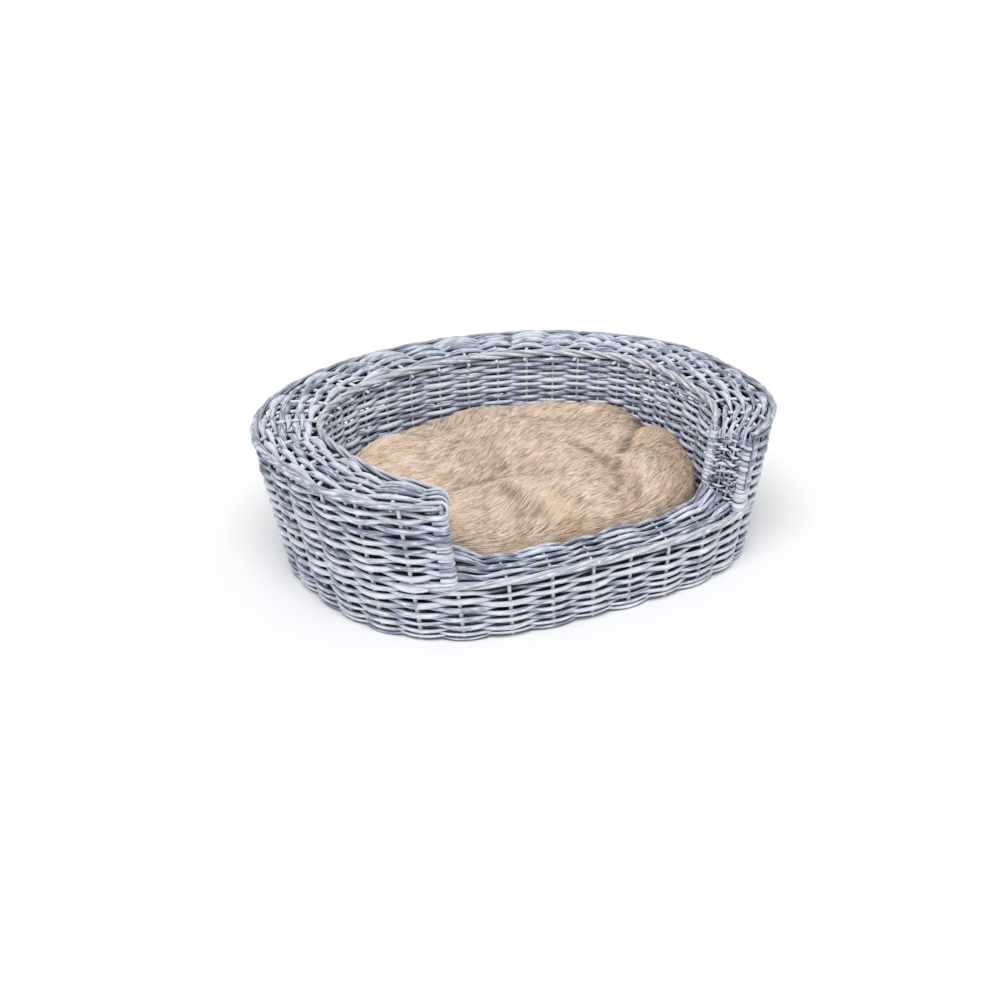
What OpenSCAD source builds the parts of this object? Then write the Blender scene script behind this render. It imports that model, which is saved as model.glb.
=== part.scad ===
// Oval wicker pet basket: a double-walled willow sofa with a wide C-shaped rim,
// a low front sill between two arm ends, and a loose fur-topped cushion in the well.
// Millimetres. +Z is up, the front (the sill) faces -Y, and the basket stands on z = 0.

/* [Rim] */
// Width of the basket across the rim
rim_w = 600; // [560:10:640]
// Depth of the rim behind the middle line
rim_back = 235.3; // [230:0.1:240]
// Depth of the rim in front of the middle line
rim_front = 238; // [230:2:246]
// Height of the basket
basket_h = 170; // [160:5:190]
// Thickness of the woven rim top
rim_t = 12; // [10:1:14]
// How square the front corners are: 2 is an ellipse
front_power = 3; // [2.6:0.1:3.4]

/* [Base] */
// Width of the foot
base_w = 524; // [500:4:540]
// Depth of the foot behind the middle line
base_back = 198; // [190:2:206]
// Depth of the foot in front of the middle line
base_front = 232; // [226:2:236]
// Height of the foot border
foot_h = 10; // [8:1:12]
// Height of the underside of the woven floor
floor_z = 4; // [3:1:5]
// Thickness of the woven floor
floor_t = 8; // [8:1:10]

/* [Well] */
// Width of the well at the rim
well_w = 432; // [420:4:440]
// Depth of the well behind the middle line, at the rim
well_back = 154; // [150:2:158]
// Depth of the well in front of the middle line, at the rim
well_front = 204; // [200:2:206]
// Width of the well at the floor
seat_w = 408; // [400:4:412]
// Depth of the well behind the middle line, at the floor
seat_back = 142; // [138:2:144]
// Depth of the well in front of the middle line, at the floor
seat_front = 180; // [176:2:182]

/* [Entry] */
// Angle from the side to the outer corner of an arm end
arm_end_outer = 54; // [52:1:56]
// Angle from the side to the inner corner of an arm end
arm_end_inner = 47; // [46:1:49]
// Height of the outer edge of the sill
sill_outer_h = 73; // [70:1:78]
// Height of the inner edge of the sill
sill_inner_h = 86; // [82:1:90]
// Thickness of the sill weave
sill_t = 11; // [9:1:12]

/* [Weave] */
// Thickness of the outer wall
wall_t = 14; // [12:1:16]
// Thickness of the inner wall
inner_t = 12; // [10:1:13]
// Width of the edge rods along the rim and the sill
wale_w = 9; // [8:1:10]
// Angle that a wrapped outer corner post takes up
outer_post_a = 2.4; // [2:0.1:2.8]
// Angle that a wrapped inner corner post takes up
inner_post_a = 3.2; // [2.6:0.1:3.6]

/* [Stakes] */
// Gaps between stakes along the outer wall, from arm end to arm end
outer_gaps = 27; // [21:2:41]
// Gaps between stakes along the inner wall and between ribs
inner_gaps = 30; // [21:3:36]
// Gaps between stakes along the sill
sill_gaps = 7; // [5:2:9]
// Diameter of an outer stake
stake_d = 4.5; // [4:0.5:5]
// Diameter of an inner stake
inner_stake_d = 3.5; // [3:0.5:4]
// Diameter of a rib over the rim or the sill
rib_d = 4; // [3.5:0.5:4.5]
// Diameter of a floor stick
stick_d = 3.6; // [3:0.2:3.6]

/* [Cushion] */
// Height of the cushion, pile included
cushion_h = 92; // [84:2:96]
// Depth of the fur pile and its backing
pile = 12; // [8:1:14]
// Thickness of the cloth under the cushion
under_t = 2; // [1.5:0.5:3]
// Gap between the cushion and the wall of the well
cushion_gap = 4; // [3:1:8]
// Width of the rounded shoulder of the cushion
shoulder = 30; // [24:2:44]

/* [Hidden] */

rim_z = basket_h - rim_t;
floor_top = floor_z + floor_t;
lower_top = sill_outer_h - sill_t;
front_a = 180 - 2 * arm_end_outer;
c_steps = 60;
front_steps = 16;
ring_steps = 72;
arm_steps = 12;
rib_inset = 1.9;
// Clearance between neighbouring panels
seam = 0.4;
// How much closer together the stakes stand at the sides than at the back and the arm ends
outer_bunch = -0.13;
inner_bunch = 0.13;
sill_wall_share = 0.28;
// Share of the sill's length that is left free at each end
sill_end = 0.003;
lift_gap = 0.3;
cushion_z = floor_top + lift_gap;
cushion_top = floor_top + cushion_h;
crown = 5;

function mix(p, q, f) = p + (q - p) * f;

// Point of an oval that is an ellipse behind the middle line and squarer in front of it
function oval(a, back, front, t) =
    let (n = sin(t) < 0 ? front_power : 2,
         b = sin(t) < 0 ? front : back,
         r = pow(pow(abs(cos(t)), n) + pow(abs(sin(t)), n), -1 / n))
    [a * r * cos(t), b * r * sin(t)];

// Point of the outer wall's face at height z, moved in by an inset
function outer_pt(z, inset, t) =
    let (f = z / basket_h)
    concat(oval(mix(base_w, rim_w, f) / 2 - inset, mix(base_back, rim_back, f) - inset,
                mix(base_front, rim_front, f) - inset, t), z);

// Point of the well's face at height z, moved out into the wall by an outset
function inner_pt(z, outset, t) =
    let (f = z / basket_h)
    concat(oval(mix(seat_w, well_w, f) / 2 + outset, mix(seat_back, well_back, f) + outset,
                mix(seat_front, well_front, f) + outset, t), z);

// Angle along the C of the arms and back: s = 0 at the right arm end, 1 at the left one
function c_angle(s, end) = -end + s * (180 + 2 * end);

// Share of the way along the arms and back, with the stakes bunched towards the sides
function bunched(s, k) = s + k * sin(720 * (s - 0.5)) / (4 * PI);

// Angle along the sill: s = 0 at the left arm end, 1 at the right one
function sill_angle(s, end) = 180 + end + s * (180 - 2 * end);

// Closed solid through a list of sections with the same number of points each
module loft(sections, closed = false) {
    n = len(sections);
    m = len(sections[0]);
    last = closed ? n - 1 : n - 2;
    sides = [for (i = [0:last], j = [0:m - 1])
        let (k = (i + 1) % n, l = (j + 1) % m)
        each [[i * m + j, k * m + l, i * m + l], [i * m + j, k * m + j, k * m + l]]];
    far = (n - 1) * m;
    caps = closed ? [] : [for (j = [1:m - 2]) each [[0, j, j + 1], [far, far + j + 1, far + j]]];
    polyhedron([for (s = sections, p = s) p], concat(sides, caps), convexity = 10);
}

// Round rod from p to q
module rod(p, q, d) {
    v = q - p;
    translate(p)
        rotate([0, acos(v[2] / norm(v)), atan2(v[1], v[0])])
            cylinder(h = norm(v), d = d, $fn = 16);
}

// Wall of the outer face between two heights and two angles
module outer_shell(z0, z1, t0, t1, steps, closed = false) {
    loft([for (i = [0:closed ? steps - 1 : steps])
        let (t = mix(t0, t1, i / steps))
        [outer_pt(z0, 0, t), outer_pt(z0, wall_t, t), outer_pt(z1, wall_t, t), outer_pt(z1, 0, t)]],
        closed);
}

// Wall of the well between two heights and two angles
module inner_shell(z0, z1, t0, t1, steps) {
    loft([for (i = [0:steps])
        let (t = mix(t0, t1, i / steps))
        [inner_pt(z0, inner_t, t), inner_pt(z0, 0, t), inner_pt(z1, 0, t), inner_pt(z1, inner_t, t)]]);
}

module base_floor_weave() {
    color("#8d96aa")
        translate([0, 0, floor_z])
            linear_extrude(floor_t)
                polygon([for (i = [0:ring_steps - 1])
                    let (p = outer_pt(floor_z, wall_t, 360 * i / ring_steps)) [p[0], p[1]]]);
}

// Half length of a floor stick that lies at a fraction f of the floor's half width or depth
function stick_reach(f, power) = pow(1 - pow(abs(f), power), 1 / power);

module base_long_sticks() {
    half = base_w / 2 - wall_t;
    z = floor_z + floor_t / 4;
    color("#7b8498")
        for (f = [-0.6, -0.3, 0, 0.3, 0.6]) {
            reach = half * stick_reach(f, f < 0 ? front_power : 2) - stick_d;
            y = f * ((f < 0 ? base_front : base_back) - wall_t);
            rod([-reach, y, z], [reach, y, z], stick_d);
        }
}

module base_cross_sticks() {
    half = base_w / 2 - wall_t;
    z = floor_z + floor_t * 3 / 4;
    color("#7b8498")
        for (f = [-0.8:0.2:0.81]) {
            back = (base_back - wall_t) * stick_reach(f, 2) - stick_d;
            front = (base_front - wall_t) * stick_reach(f, front_power) - stick_d;
            rod([f * half, -front, z], [f * half, back, z], stick_d);
        }
}

module foot_border() {
    color("#7f889c") outer_shell(0, foot_h, 0, 360, ring_steps, true);
}

module lower_wall_weave() {
    color("#99a3ba") outer_shell(foot_h, lower_top, 0, 360, ring_steps, true);
}

module outer_wall_weave() {
    color("#a0aac1")
        outer_shell(lower_top, rim_z, outer_post_a - arm_end_outer,
                    180 + arm_end_outer - outer_post_a, c_steps);
}

module outer_stakes() {
    color("#c5ccda") {
        for (i = [0:outer_gaps]) {
            t = c_angle(bunched(i / outer_gaps, outer_bunch), arm_end_outer);
            top = i == 0 || i == outer_gaps ? lower_top : rim_z;
            rod(outer_pt(1, wall_t / 2, t), outer_pt(top, wall_t / 2, t), stake_d);
        }
        for (i = [1:sill_gaps - 1]) {
            t = sill_angle(i / sill_gaps, arm_end_outer);
            rod(outer_pt(1, wall_t / 2, t), outer_pt(lower_top, wall_t / 2, t), stake_d);
        }
    }
}

// Edge bundle along the rim: its top is rounded off towards one side
module outer_rim_wale() {
    color("#b4bccd")
        loft([for (i = [0:c_steps])
            let (t = c_angle(i / c_steps, arm_end_outer))
            [outer_pt(rim_z, 0, t), outer_pt(rim_z, wale_w, t), outer_pt(basket_h, wale_w, t),
             outer_pt(basket_h, wale_w / 3, t), outer_pt(basket_h - rim_t / 3, 0, t)]]);
}

module inner_rim_wale() {
    color("#b4bccd")
        loft([for (i = [0:c_steps])
            let (t = c_angle(i / c_steps, arm_end_inner))
            [inner_pt(rim_z, wale_w, t), inner_pt(rim_z, 0, t), inner_pt(basket_h - rim_t / 3, 0, t),
             inner_pt(basket_h, wale_w / 3, t), inner_pt(basket_h, wale_w, t)]]);
}

module rim_top_weave() {
    color("#aab3c8")
        loft([for (i = [0:c_steps])
            let (to = c_angle(i / c_steps, arm_end_outer), ti = c_angle(i / c_steps, arm_end_inner))
            [outer_pt(rim_z, wale_w + seam, to), inner_pt(rim_z, wale_w + seam, ti),
             inner_pt(basket_h, wale_w + seam, ti), outer_pt(basket_h, wale_w + seam, to)]]);
}

module rim_ribs() {
    z = basket_h - rim_t / 2;
    color("#c5ccda")
        for (i = [1:inner_gaps - 1]) {
            s = bunched(i / inner_gaps, inner_bunch);
            rod(outer_pt(z, wale_w + rib_inset, c_angle(s, arm_end_outer)),
                inner_pt(z, wale_w + rib_inset, c_angle(s, arm_end_inner)), rib_d);
        }
}

module inner_wall_weave() {
    color("#939db3")
        inner_shell(floor_top, rim_z, inner_post_a - arm_end_inner,
                    180 + arm_end_inner - inner_post_a, c_steps);
}

module inner_stakes() {
    color("#c5ccda") {
        for (i = [1:inner_gaps - 1]) {
            t = c_angle(bunched(i / inner_gaps, inner_bunch), arm_end_inner);
            rod(inner_pt(floor_top + seam, inner_t / 2, t), inner_pt(rim_z, inner_t / 2, t), inner_stake_d);
        }
        for (i = [1:sill_gaps - 1]) {
            t = sill_angle(i / sill_gaps, arm_end_inner);
            rod(inner_pt(floor_top + seam, inner_t / 2, t),
                inner_pt(sill_inner_h - 2 * sill_t, inner_t / 2, t), inner_stake_d);
        }
    }
}

// Woven panel that closes the hollow of an arm between its two posts
module arm_end(side) {
    t_out = 90 + side * (90 + arm_end_outer);
    t_in = 90 + side * (90 + arm_end_inner);
    function corners(z) = [
        outer_pt(z, wall_t + seam, t_out), outer_pt(z, wall_t + seam, t_out - side * outer_post_a),
        inner_pt(z, inner_t + seam, t_in - side * inner_post_a),
        inner_pt(z, inner_t + seam, t_in)];
    start = side > 0 ? rim_z : lower_top;
    end = side > 0 ? lower_top : rim_z;
    loft([for (i = [0:arm_steps]) corners(mix(start, end, i / arm_steps))]);
}

module left_arm_end_weave() {
    color("#9ca5ba") arm_end(1);
}

module right_arm_end_weave() {
    color("#9ca5ba") arm_end(-1);
}

// Corner posts: the end of the outer wall and of the inner wall, wrapped round with thin rods
module left_outer_post() {
    color("#b0b8ca")
        outer_shell(lower_top, rim_z, 180 + arm_end_outer - outer_post_a, 180 + arm_end_outer, 1);
}

module right_outer_post() {
    color("#b0b8ca")
        outer_shell(lower_top, rim_z, -arm_end_outer, outer_post_a - arm_end_outer, 1);
}

module left_inner_post() {
    color("#b0b8ca")
        inner_shell(floor_top, rim_z, 180 + arm_end_inner - inner_post_a, 180 + arm_end_inner, 1);
}

module right_inner_post() {
    color("#b0b8ca")
        inner_shell(floor_top, rim_z, -arm_end_inner, inner_post_a - arm_end_inner, 1);
}

module sill_outer_wale() {
    color("#c3cad8")
        loft([for (i = [0:front_steps])
            let (t = sill_angle(i / front_steps, arm_end_outer))
            [outer_pt(lower_top, 0, t), outer_pt(lower_top, wale_w, t),
             outer_pt(sill_outer_h, wale_w, t), outer_pt(sill_outer_h, wale_w / 3, t),
             outer_pt(sill_outer_h - sill_t / 3, 0, t)]]);
}

// Points where the underside of the sill weave leaves the outer wale and meets the well
function sill_low(s) = outer_pt(lower_top, wale_w + seam, sill_angle(s, arm_end_outer));
function sill_high(s) = inner_pt(sill_inner_h - sill_t, 0, sill_angle(s, arm_end_inner));

module sill_top_weave() {
    up = [0, 0, sill_t];
    color("#aab3c8")
        loft([for (i = [0:front_steps])
            let (s = mix(sill_end, 1 - sill_end, i / front_steps))
            [sill_low(s), sill_high(s), sill_high(s) + up, sill_low(s) + up]]);
}

module sill_ribs() {
    up = [0, 0, sill_t / 2];
    color("#c5ccda")
        for (i = [1:sill_gaps - 1]) {
            s = i / sill_gaps;
            rod(mix(sill_low(s), sill_high(s), 0.08) + up, mix(sill_low(s), sill_high(s), 0.92) + up,
                rib_d);
        }
}

module sill_inner_wall_weave() {
    drop = [0, 0, seam];
    color("#939db3")
        loft([for (i = [0:front_steps])
            let (s = i / front_steps, t = sill_angle(s, arm_end_inner))
            [inner_pt(floor_top, inner_t, t), inner_pt(floor_top, 0, t), sill_high(s) - drop,
             mix(sill_high(s), sill_low(s), sill_wall_share) - drop]]);
}

// Crowned pillow that stands in the well: it is moved in by an inset and its top by a drop
module pillow(inset, drop) {
    z0 = cushion_z + under_t;
    side_h = cushion_top - crown - drop - z0;
    rings = concat([for (a = [0:15:90]) [inset + shoulder * (1 - cos(a)), z0 + side_h * sin(a)]],
                   [[inset + shoulder * 1.8, z0 + side_h + crown * 0.7],
                    [inset + shoulder * 2.6, z0 + side_h + crown]]);
    loft([for (ring = rings)
        [for (k = [0:ring_steps - 1])
            inner_pt(ring[1], -cushion_gap - ring[0], 360 * k / ring_steps)]]);
}

module cushion_cover() {
    color("#d8b795")
        difference() {
            pillow(0, 0);
            pillow(pile, pile);
        }
}

module cushion_filling() {
    color("#f2efe8") pillow(pile, pile);
}

module cushion_underside() {
    color("#b79b7d")
        translate([0, 0, cushion_z])
            linear_extrude(under_t)
                polygon([for (k = [0:ring_steps - 1])
                        let (p = inner_pt(cushion_z, -cushion_gap, 360 * k / ring_steps)) [p[0], p[1]]]);
}

base_floor_weave();
base_long_sticks();
base_cross_sticks();
foot_border();
lower_wall_weave();
outer_wall_weave();
outer_stakes();
outer_rim_wale();
rim_top_weave();
rim_ribs();
inner_rim_wale();
inner_wall_weave();
inner_stakes();
left_arm_end_weave();
right_arm_end_weave();
left_outer_post();
right_outer_post();
left_inner_post();
right_inner_post();
sill_outer_wale();
sill_top_weave();
sill_ribs();
sill_inner_wall_weave();
cushion_cover();
cushion_filling();
cushion_underside();
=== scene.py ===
"""Wicker pet bed basket, woven rod by rod over its fixed frame.

The basket is a hollow double wall of grey-washed willow in plain weave, open at a low front sill,
and a long-pile cushion lies in its well. Lengths are in metres and angles in degrees.
"""

from __future__ import annotations

import logging
import math
from dataclasses import dataclass, field
from enum import Enum
from functools import partial
from typing import Any, Callable, ClassVar, Iterable, Sequence

import bmesh
import bpy
import numpy as np
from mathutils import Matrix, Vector, kdtree, noise
from mathutils.bvhtree import BVHTree

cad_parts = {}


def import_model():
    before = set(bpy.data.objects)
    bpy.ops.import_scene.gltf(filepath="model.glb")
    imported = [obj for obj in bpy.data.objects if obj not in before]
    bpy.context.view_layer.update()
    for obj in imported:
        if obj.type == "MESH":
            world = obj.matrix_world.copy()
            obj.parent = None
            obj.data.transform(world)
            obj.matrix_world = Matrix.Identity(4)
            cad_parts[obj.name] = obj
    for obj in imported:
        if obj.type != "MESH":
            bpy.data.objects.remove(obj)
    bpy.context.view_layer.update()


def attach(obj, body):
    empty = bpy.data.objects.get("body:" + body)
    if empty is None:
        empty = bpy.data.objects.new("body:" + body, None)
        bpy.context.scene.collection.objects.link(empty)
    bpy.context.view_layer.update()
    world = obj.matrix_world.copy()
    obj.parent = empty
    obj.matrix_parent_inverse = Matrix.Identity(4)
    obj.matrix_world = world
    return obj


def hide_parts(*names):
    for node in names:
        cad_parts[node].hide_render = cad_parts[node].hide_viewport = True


LOG = logging.getLogger("pet_bed_basket")
Array = np.ndarray
Place = Callable[[Array, Array], Array]
Looks = dict[str, bpy.types.Material]

SIDES = 8  # faces round a willow rod
PER_GAP = 8  # points along a rod from one stake to the next
MM = 0.001
FLOOR_TOP = 0.0125  # height at which the well's wall and stakes start


def linear(code: str) -> tuple[float, float, float, float]:
    """Turn an sRGB hex colour into a linear one.

    Args:
        code: Colour as "#rrggbb".

    Returns:
        Linear red, green, blue and an alpha of 1.
    """
    parts = [int(code[i : i + 2], 16) / 255 for i in (1, 3, 5)]
    done = [p / 12.92 if p <= 0.04045 else ((p + 0.055) / 1.055) ** 2.4 for p in parts]
    return (done[0], done[1], done[2], 1.0)


def unit(v: Array) -> Array:
    """Scale each row of v to length 1."""
    return v / np.maximum(np.linalg.norm(v, axis=-1, keepdims=True), 1e-12)


def mix(a: Any, b: Any, share: Any) -> Any:
    """Go a share of the way from a to b."""
    return a + (b - a) * share


def smooth(low: float, high: float, x: Array) -> Array:
    """Rise softly from 0 at low to 1 at high."""
    t = np.clip((x - low) / (high - low), 0.0, 1.0)
    return t * t * (3 - 2 * t)


def adopt(name: str, data: Any) -> bpy.types.Object:
    """Put a mesh, curve, camera or light in the scene as an object at the origin."""
    obj = bpy.data.objects.new(name, data)
    bpy.context.collection.objects.link(obj)
    return obj


def finished(name: str, bm: bmesh.types.BMesh) -> bpy.types.Object:
    """Turn a bmesh, which is freed, into an object at the origin."""
    mesh = bpy.data.meshes.new(name)
    bm.to_mesh(mesh)
    bm.free()
    return adopt(name, mesh)


def evaluated(obj: bpy.types.Object) -> bpy.types.Mesh:
    """Copy an object's mesh as its modifiers leave it."""
    return bpy.data.meshes.new_from_object(obj.evaluated_get(bpy.context.evaluated_depsgraph_get()))


def points_of(mesh: bpy.types.Mesh) -> Array:
    """Vertices of a mesh, one in a row."""
    co = np.empty(len(mesh.vertices) * 3, np.float32)
    mesh.vertices.foreach_get("co", co)
    return co.reshape(-1, 3)


def tubes(name: str, paths: Iterable[tuple[Array, Array, bool]], sides: int) -> bpy.types.Mesh:
    """Run a round section along paths.

    Args:
        name: Name of the mesh.
        paths: For each path its points, its radii and whether it is closed.
        sides: Faces round a path, an even number.

    Returns:
        A mesh with that many vertices for each point of each path, in order.
    """
    curve = bpy.data.curves.new(name, "CURVE")
    curve.dimensions = "3D"
    curve.bevel_depth = 1.0
    curve.bevel_resolution = sides // 2 - 2
    for points, radii, closed in paths:
        spline = curve.splines.new("POLY")
        spline.points.add(len(points) - 1)
        spline.points.foreach_set("co", np.c_[points, np.ones(len(points))].ravel())
        spline.points.foreach_set("radius", radii)
        spline.use_cyclic_u = closed
    path = adopt(name + "_path", curve)
    mesh = evaluated(path)
    bpy.data.objects.remove(path)
    bpy.data.curves.remove(curve)
    return mesh


def give(mesh: bpy.types.Mesh, layers: dict[str, Array], near: float) -> None:
    """Give a mesh point attributes, then merge its vertices that are that near each other."""
    for name, values in layers.items():
        kind, slot = ("FLOAT_VECTOR", "vector") if values.ndim == 2 else ("FLOAT", "value")
        layer = mesh.attributes.new(name, kind, "POINT")
        layer.data.foreach_set(slot, values.astype(np.float32).ravel())
    bm = bmesh.new()
    bm.from_mesh(mesh)
    bmesh.ops.remove_doubles(bm, verts=bm.verts, dist=near)
    bm.to_mesh(mesh)
    bm.free()


@dataclass(frozen=True)
class Outline:
    """Driving sizes of the basket, the same as the frame's."""

    height: float = 0.170
    base_w: float = 0.524
    base_back: float = 0.198
    base_front: float = 0.232
    rim_w: float = 0.600
    rim_back: float = 0.2353
    rim_front: float = 0.238
    seat_w: float = 0.408
    seat_back: float = 0.142
    seat_front: float = 0.180
    well_w: float = 0.432
    well_back: float = 0.154
    well_front: float = 0.204
    arm_outer: float = 54.0
    arm_inner: float = 47.0
    outer_gaps: int = 27
    inner_gaps: int = 30
    sill_gaps: int = 7
    outer_bunch: float = -0.13
    inner_bunch: float = 0.13
    front_power: float = 3.0

    def oval(self, half: Array, back: Array, front: Array, t: Array) -> Array:
        """Point of an oval that is an ellipse behind the middle line and squarer before it."""
        c, s = np.cos(np.radians(t)), np.sin(np.radians(t))
        n = np.where(s < 0, self.front_power, 2.0)
        r = (np.abs(c) ** n + np.abs(s) ** n) ** (-1 / n)
        return np.stack([half * r * c, np.where(s < 0, front, back) * r * s], -1)

    def _spans(self, z: Array, inset: Any, inside: bool) -> list[Array]:
        """Half width, back and front of the outer wall's face, or of the well's, moved in."""
        if inside:
            low = (self.seat_w / 2, self.seat_back, self.seat_front)
            high = (self.well_w / 2, self.well_back, self.well_front)
        else:
            low = (self.base_w / 2, self.base_back, self.base_front)
            high = (self.rim_w / 2, self.rim_back, self.rim_front)
        return [mix(a, b, z / self.height) - inset for a, b in zip(low, high)]

    def _face(self, z: Any, inset: Any, t: Any, inside: bool) -> Array:
        """Point of a wall's face at height z and angle t."""
        z, inset, t = np.broadcast_arrays(*np.atleast_1d(z, inset, t))
        return np.concatenate([self.oval(*self._spans(z, inset, inside), t), z[..., None]], -1)

    def outer(self, z: Any, inset: Any, t: Any) -> Array:
        """Point of the outer wall's face at height z, moved in by inset, at angle t."""
        return self._face(z, inset, t, False)

    def inner(self, z: Any, outset: Any, t: Any) -> Array:
        """Point of the well's face at height z, moved out into the wall by outset, at angle t."""
        return self._face(z, np.negative(outset), t, True)

    def well_ratio(self, p: Array, inset: float) -> Array:
        """How far each point is from the well's middle: 1 is at the well's face moved in by inset."""
        a, back, front = self._spans(p[:, 2], inset, True)
        n = np.where(p[:, 1] < 0, self.front_power, 2.0)
        b = np.where(p[:, 1] < 0, front, back)
        return (np.abs(p[:, 0] / a) ** n + np.abs(p[:, 1] / b) ** n) ** (1 / n)

    def c_angle(self, share: Any, end: float) -> Any:
        """Angle along the arms and back: share 0 is the right arm end and 1 the left one."""
        return -end + share * (180 + 2 * end)

    def sill_angle(self, share: Any, end: float) -> Any:
        """Angle along the sill: share 0 is the left arm end and 1 the right one."""
        return 180 + end + share * (180 - 2 * end)

    @staticmethod
    def bunched(share: Any, bunch: float) -> Any:
        """Share of the way along the arms and back, with the stakes bunched towards the sides."""
        return share + bunch * np.sin(4 * np.pi * (share - 0.5)) / (4 * np.pi)

    def _ring(self, u: Array, gaps: int, end: float, bunch: float) -> Array:
        """Angle of stake count u round a whole ring, from the right arm end round the back."""
        total = gaps + self.sill_gaps
        turns = np.floor(u / total)
        rest = u - turns * total
        back = self.c_angle(self.bunched(rest / gaps, bunch), end)
        front = self.sill_angle((rest - gaps) / self.sill_gaps, end)
        return turns * 360 + np.where(rest < gaps, back, front)

    def outer_ring(self, u: Array) -> Array:
        """Angle of stake count u round the outer wall."""
        return self._ring(np.asarray(u, float), self.outer_gaps, self.arm_outer, self.outer_bunch)

    def inner_ring(self, u: Array) -> Array:
        """Angle of stake count u round the well."""
        return self._ring(np.asarray(u, float), self.inner_gaps, self.arm_inner, self.inner_bunch)


@dataclass
class Rod:
    """One willow rod: its middle line, radii, the way it is seen from, and its colouring."""

    points: Array
    radii: Array
    normals: Array
    tone: Array
    crest: Array
    closed: bool = False


class RodBundle:
    """Gathers round rods and makes one mesh of them, with what its finish needs in attributes."""

    DOME = ((0.95, 0.0), (0.62, 0.78))  # how far out, in radii, and how thick a rod's tip is

    def __init__(self, name: str, seed: int) -> None:
        """Start an empty bundle.

        Args:
            name: Name of the piece it becomes.
            seed: Seed of the grain's offsets.
        """
        self.name = name
        self.rng = np.random.default_rng(seed)
        self.rods: list[Rod] = []

    def add(self, rod: Rod) -> None:
        """Add a rod; an open one gets a rounded tip at both ends."""
        if not rod.closed:
            rod = self._domed(rod)
        self.rods.append(rod)

    def _domed(self, rod: Rod) -> Rod:
        """Give an open rod its two rounded tips."""
        p, r = rod.points, rod.radii
        head, tail = unit(p[0] - p[1]), unit(p[-1] - p[-2])
        first = [p[0] + head * r[0] * out for out, _ in self.DOME]
        last = [p[-1] + tail * r[-1] * out for out, _ in reversed(self.DOME)]
        size = [k for _, k in self.DOME]

        def both(v: Array) -> Array:
            """Repeat the end values of v under the two added points at each end."""
            return np.concatenate([v[:1], v[:1], v, v[-1:], v[-1:]])

        radii = both(r)
        radii[:2] *= size
        radii[-2:] *= size[::-1]
        return Rod(np.vstack([first, p, last]), radii, both(rod.normals), both(rod.tone), both(rod.crest))

    def build(self) -> bpy.types.Object:
        """Make the piece.

        Returns:
            The new object at the origin, with the attributes grain, tone and worn.
        """
        mesh = tubes(self.name, ((rod.points, rod.radii, rod.closed) for rod in self.rods), SIDES)
        count = sum(len(rod.points) for rod in self.rods) * SIDES
        if count != len(mesh.vertices):
            raise ValueError(f"{self.name}: {len(mesh.vertices)} vertices and not {count}")
        co = points_of(mesh)
        turn = 2 * np.pi * np.arange(SIDES) / SIDES
        grain, tone, brush_and_shade = [], [], []
        start = 0
        for rod in self.rods:
            n = len(rod.points)
            along = np.r_[0, np.cumsum(np.linalg.norm(np.diff(rod.points, axis=0), axis=1))]
            if rod.closed:
                along = np.abs(along - along[-1] / 2)
            shift = self.rng.random(3) * 7
            across = np.repeat(np.maximum(rod.radii, 5e-4), SIDES)
            grain.append(
                np.c_[
                    np.repeat(along, SIDES) + shift[0],
                    across * np.tile(np.cos(turn), n) + shift[1],
                    across * np.tile(np.sin(turn), n) + shift[2],
                ]
            )
            # The attribute is high on the proud, seen side of a rod, which the brush whitens, and low on
            # recessed and turned-away sides, which the finish darkens as painted shade.
            out = co[start : start + n * SIDES] - np.repeat(rod.points, SIDES, axis=0)
            facing = (out * np.repeat(rod.normals, SIDES, axis=0)).sum(1) / across
            brush_and_shade.append(np.clip(0.5 + 0.5 * facing, 0, 1) * np.repeat(rod.crest, SIDES))
            tone.append(np.repeat(rod.tone, SIDES))
            start += n * SIDES
        layers = {"grain": grain, "tone": tone, "brush_and_shade": brush_and_shade}
        give(mesh, {name: np.concatenate(values) for name, values in layers.items()}, 1e-7)
        LOG.info("%s: %d rods, %d vertices", self.name, len(self.rods), len(mesh.vertices))
        return adopt(self.name, mesh)

    def lay(self, solid: str, slot: str, looks: Looks) -> None:
        """Build the piece and put it on the basket in place of a solid.

        Args:
            solid: The solid it stands for.
            slot: Its material slot.
            looks: Material of each slot.
        """
        settle(self.build(), "basket", [solid], slot, looks[slot])


class EndStyle(Enum):
    """How the rods of a panel finish at its sides."""

    NONE = "none"
    WRAP = "wrap"  # round the post and back along its other side
    TURN_DOWN = "turn_down"  # over the edge and down the face
    TUCK = "tuck"  # in behind the neighbour


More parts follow.
